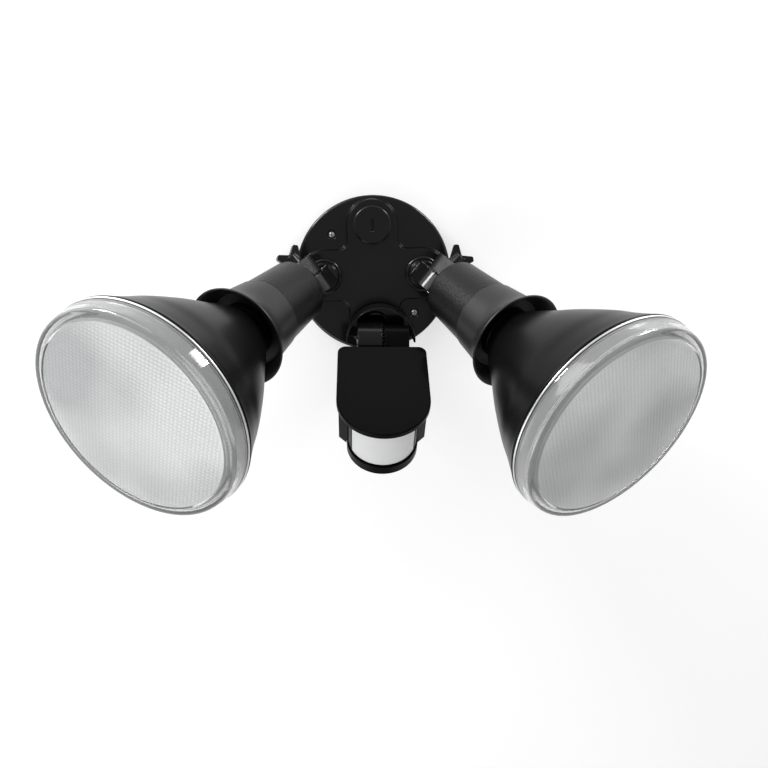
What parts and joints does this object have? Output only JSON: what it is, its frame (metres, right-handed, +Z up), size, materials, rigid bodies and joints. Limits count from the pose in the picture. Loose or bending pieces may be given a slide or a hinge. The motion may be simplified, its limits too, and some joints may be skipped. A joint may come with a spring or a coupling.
{
  "type": "motion sensor security light",
  "caption": "Black twin floodlight on a round wall base with a hooded motion sensor below; the lamp heads and the sensor swivel and tilt on toothed knuckles.",
  "frame": {"origin": "centre of the round base on the wall plane, midway between the wall slots", "axes": "+Y into the wall, -Y out towards the viewer, +Z up, +X to the right seen from the front"},
  "size_m": [0.3494, 0.2289, 0.1781],
  "materials": {
    "black_moulding": "satin",
    "black_rubber": "matte",
    "zinc_steel": "satin",
    "black_steel": "satin",
    "black_plastic": "satin",
    "grey_plastic": "satin",
    "milky_plastic": "satin",
    "white_plastic": "satin",
    "circuit_board": "satin",
    "lamp_shell": "satin",
    "bright_ring": "polished",
    "frosted_lens": "frosted",
    "lamp_cap": "satin",
    "socket_moulding": "satin",
    "brass": "satin",
    "board_core": "satin"
  },
  "bodies": {
    "base": {"mounting_plate": "zinc_steel", "base_gasket": "black_rubber", "base_cover": "black_moulding", "cover_screws": "black_steel", "blanking_plug": "black_moulding", "plug_seal": "black_rubber", "arm_seals": "black_rubber", "arm_locknuts": "black_moulding", "cable_grommet": "black_rubber", "terminal_block": "white_plastic", "terminal_screws": "zinc_steel", "earth_terminal": "zinc_steel"},
    "left_arm": {"left_arm": "black_moulding", "left_hinge_nut": "zinc_steel"},
    "left_holder": {"left_lampholder": "black_moulding", "left_lamp_cup": "black_rubber", "left_neck_seal": "black_rubber", "left_socket_insert": "socket_moulding", "left_screw_shell": "brass", "left_centre_contact": "brass"},
    "left_lamp": {"left_lamp_body": "lamp_shell", "left_lamp_ring": "bright_ring", "left_lamp_lens": "frosted_lens", "left_lamp_cap": "lamp_cap", "left_cap_contact": "black_plastic", "left_led_board": "board_core", "left_driver_board": "circuit_board"},
    "left_knob": {"left_hinge_screw": "zinc_steel", "left_wing_knob": "black_moulding"},
    "right_arm": {"right_arm": "black_moulding", "right_hinge_nut": "zinc_steel"},
    "right_holder": {"right_lampholder": "black_moulding", "right_lamp_cup": "black_rubber", "right_neck_seal": "black_rubber", "right_socket_insert": "socket_moulding", "right_screw_shell": "brass", "right_centre_contact": "brass"},
    "right_lamp": {"right_lamp_body": "lamp_shell", "right_lamp_ring": "bright_ring", "right_lamp_lens": "frosted_lens", "right_lamp_cap": "lamp_cap", "right_cap_contact": "black_plastic", "right_led_board": "board_core", "right_driver_board": "circuit_board"},
    "right_knob": {"right_hinge_screw": "zinc_steel", "right_wing_knob": "black_moulding"},
    "sensor_arm": {"sensor_arm": "black_moulding", "sensor_hinge_nut": "zinc_steel", "sensor_hinge_screw": "zinc_steel"},
    "sensor_head": {"sensor_housing": "black_plastic", "sensor_hood": "black_plastic", "sensor_frame": "black_plastic", "sensor_lens": "milky_plastic", "sensor_bottom_cap": "black_plastic", "sensor_board": "circuit_board", "heat_detector": "zinc_steel", "sensor_case_screws": "zinc_steel"},
    "time_dial": {"time_dial": "grey_plastic"},
    "lux_dial": {"lux_dial": "grey_plastic"},
    "sensitivity_dial": {"sensitivity_dial": "grey_plastic"}
  },
  "joints": [
    {"name": "left_arm_swivel", "type": "hinge", "parent": "base", "child": "left_arm", "pos_m": [-0.0358, 0, 0], "axis": [0, -1, 0], "range_deg": [-80, 20]},
    {"name": "left_lamp_tilt", "type": "hinge", "parent": "left_arm", "child": "left_holder", "pos_m": [-0.04337, -0.0495, -0.00487], "axis": [0.5417, 0, -0.8406], "range_deg": [-20, 45]},
    {"name": "left_knob_turn", "type": "hinge", "parent": "left_arm", "child": "left_knob", "pos_m": [-0.04337, -0.0495, -0.00487], "axis": [-0.5417, 0, 0.8406], "range_deg": [0, 360]},
    {"name": "left_lamp_turn", "type": "hinge", "parent": "left_holder", "child": "left_lamp", "pos_m": [-0.07268, -0.10055, -0.01758], "axis": [-0.4417, -0.8508, -0.2847], "range_deg": [0, 360]},
    {"name": "right_arm_swivel", "type": "hinge", "parent": "base", "child": "right_arm", "pos_m": [0.0358, 0, 0], "axis": [0, -1, 0], "range_deg": [-20, 80]},
    {"name": "right_lamp_tilt", "type": "hinge", "parent": "right_arm", "child": "right_holder", "pos_m": [0.04259, -0.0495, -0.0059], "axis": [0.6561, 0, 0.7547], "range_deg": [-20, 45]},
    {"name": "right_knob_turn", "type": "hinge", "parent": "right_arm", "child": "right_knob", "pos_m": [0.04259, -0.0495, -0.0059], "axis": [0.6561, 0, 0.7547], "range_deg": [0, 360]},
    {"name": "right_lamp_turn", "type": "hinge", "parent": "right_holder", "child": "right_lamp", "pos_m": [0.07152, -0.09907, -0.02416], "axis": [0.4253, -0.8261, -0.3697], "range_deg": [0, 360]},
    {"name": "sensor_arm_swivel", "type": "hinge", "parent": "base", "child": "sensor_arm", "pos_m": [0, 0, -0.0358], "axis": [0, -1, 0], "range_deg": [-35, 35]},
    {"name": "sensor_tilt", "type": "hinge", "parent": "sensor_arm", "child": "sensor_head", "pos_m": [-0.00039, -0.0495, -0.04479], "axis": [0.999, 0, -0.0436], "range_deg": [-40, 50]},
    {"name": "time_dial_turn", "type": "hinge", "parent": "sensor_head", "child": "time_dial", "pos_m": [-0.01068, -0.08783, -0.10612], "axis": [-0.0366, 0.5432, -0.8388], "range_deg": [-135, 135]},
    {"name": "lux_dial_turn", "type": "hinge", "parent": "sensor_head", "child": "lux_dial", "pos_m": [0.00031, -0.08783, -0.1066], "axis": [-0.0366, 0.5432, -0.8388], "range_deg": [-135, 135]},
    {"name": "sensitivity_dial_turn", "type": "hinge", "parent": "sensor_head", "child": "sensitivity_dial", "pos_m": [0.0113, -0.08783, -0.10708], "axis": [-0.0366, 0.5432, -0.8388], "range_deg": [-135, 135]}
  ]
}
